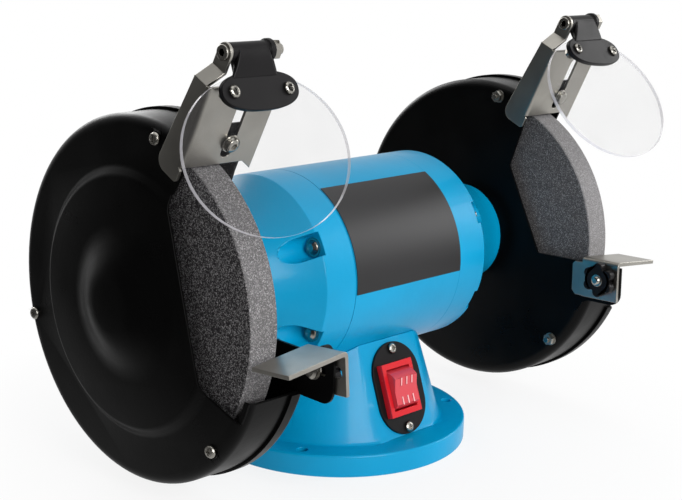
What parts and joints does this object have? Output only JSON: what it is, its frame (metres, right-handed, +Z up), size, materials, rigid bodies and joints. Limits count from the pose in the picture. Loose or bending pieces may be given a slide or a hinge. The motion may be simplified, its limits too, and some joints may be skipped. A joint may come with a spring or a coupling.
{
  "type": "bench grinder",
  "caption": "Double-ended bench grinder: motor on a round cast column, two guarded grinding wheels, tilting clear eye shields, adjustable tool rests and a rocker switch.",
  "frame": {"origin": "centre of the round base's underside, in the middle of the four bench bolt holes", "axes": "+X along the shaft towards the right wheel, -Y towards the user, +Z up"},
  "size_m": [0.4316, 0.2519, 0.2839],
  "materials": {
    "blue_paint": "gloss enamel",
    "black_paint": "gloss stoved enamel",
    "bright_zinc": "bright zinc plate",
    "steel": "turned and plain steel",
    "abrasive": "open gritty vitrified bond",
    "black_plastic": "fine moulded",
    "red_plastic": "moulded, glossy",
    "clear_plastic": "clear sheet",
    "copper": "enamelled wire",
    "laminations": "stacked sheet",
    "paper": "plain card",
    "white_plastic": "moulded",
    "brass_cage": "pressed",
    "plate_black": "satin printed aluminium"
  },
  "bodies": {
    "stand": {"base_casting": "blue_paint", "bottom_plate": "steel", "bottom_plate_screws": "steel", "saddle_screws": "steel", "cable_grommet": "black_plastic", "terminal_block": "white_plastic", "start_capacitor": "white_plastic", "capacitor_clamp": "steel", "switch_plate": "black_plastic", "switch_screws": "bright_zinc", "switch_body": "red_plastic", "stator_shell": "blue_paint", "stator_core": "laminations", "stator_winding": "copper", "end_bell_left": "blue_paint", "end_bell_right": "blue_paint", "through_bolts": "bright_zinc", "through_bolt_nuts": "bright_zinc", "rating_plate": "plate_black", "bearing_outer_rings": "steel", "preload_washer": "steel", "guard_housing_left": "black_paint", "guard_cover_left": "black_paint", "guard_housing_right": "black_paint", "guard_cover_right": "black_paint", "guard_screws": "bright_zinc", "guard_nuts": "bright_zinc", "guard_mount_screws": "steel", "bracket_bolts": "bright_zinc", "bracket_nuts": "bright_zinc"},
    "rotor": {"rotor_shaft": "steel", "rotor_core": "laminations", "bearing_inner_rings": "steel", "wheel_left": "abrasive", "wheel_right": "abrasive", "inner_flanges": "steel", "outer_flanges": "steel", "wheel_blotters": "paper", "shaft_nuts": "steel"},
    "bearing_cages": {"bearing_balls": "steel", "bearing_cages": "brass_cage"},
    "rocker": {"switch_rocker": "red_plastic"},
    "left_bracket": {"shield_bracket_left": "bright_zinc", "pivot_bolt_left": "bright_zinc"},
    "left_shield": {"shield_holder_left": "black_plastic", "shield_lens_left": "clear_plastic", "lens_screws_left": "bright_zinc"},
    "left_rest": {"tool_rest_left": "bright_zinc", "rest_bolt_left": "steel"},
    "left_knob": {"rest_knob_left": "black_plastic"},
    "right_bracket": {"shield_bracket_right": "bright_zinc", "pivot_bolt_right": "bright_zinc"},
    "right_shield": {"shield_holder_right": "black_plastic", "shield_lens_right": "clear_plastic", "lens_screws_right": "bright_zinc"},
    "right_rest": {"tool_rest_right": "bright_zinc", "rest_bolt_right": "steel"},
    "right_knob": {"rest_knob_right": "black_plastic"}
  },
  "joints": [
    {"name": "rotor_spin", "type": "hinge", "parent": "stand", "child": "rotor", "pos_m": [0, 0, 0.1216], "axis": [1, 0, 0], "continuous": true},
    {"name": "cage_spin", "type": "hinge", "parent": "stand", "child": "bearing_cages", "pos_m": [0, 0, 0.1216], "axis": [1, 0, 0], "continuous": true},
    {"name": "left_bracket_slide", "type": "slide", "parent": "stand", "child": "left_bracket", "axis": [0, -0.4617, 0.887], "range_m": [-0.0008, 0.0055]},
    {"name": "left_shield_tilt", "type": "hinge", "parent": "left_bracket", "child": "left_shield", "pos_m": [-0.1536, -0.0784, 0.27373], "axis": [-1, 0, 0], "range_deg": [-0.5, 74]},
    {"name": "left_rest_slide", "type": "slide", "parent": "stand", "child": "left_rest", "axis": [0, -0.9997, -0.0262], "range_m": [-0.0075, 0.0055]},
    {"name": "left_knob_turn", "type": "hinge", "parent": "left_rest", "child": "left_knob", "pos_m": [-0.12815, -0.11601, 0.10126], "axis": [1, 0, 0], "continuous": true},
    {"name": "right_bracket_slide", "type": "slide", "parent": "stand", "child": "right_bracket", "axis": [0, -0.4147, 0.91], "range_m": [-0.0008, 0.0055]},
    {"name": "right_shield_tilt", "type": "hinge", "parent": "right_bracket", "child": "right_shield", "pos_m": [0.1619, -0.07033, 0.27762], "axis": [-1, 0, 0], "range_deg": [-8, 64]},
    {"name": "right_rest_slide", "type": "slide", "parent": "stand", "child": "right_rest", "axis": [0, -0.9997, 0.0262], "range_m": [0, 0.0033]},
    {"name": "right_knob_turn", "type": "hinge", "parent": "right_rest", "child": "right_knob", "pos_m": [0.13465, -0.11921, 0.10742], "axis": [1, 0, 0], "continuous": true},
    {"name": "rocker_tilt", "type": "hinge", "parent": "stand", "child": "rocker", "pos_m": [-0.003, -0.05911, 0.04456], "axis": [1, 0, 0], "range_deg": [-18, 0]}
  ],
  "couplings": [
    {"joint": "cage_spin", "follows": "rotor_spin", "ratio": 0.3877}
  ]
}
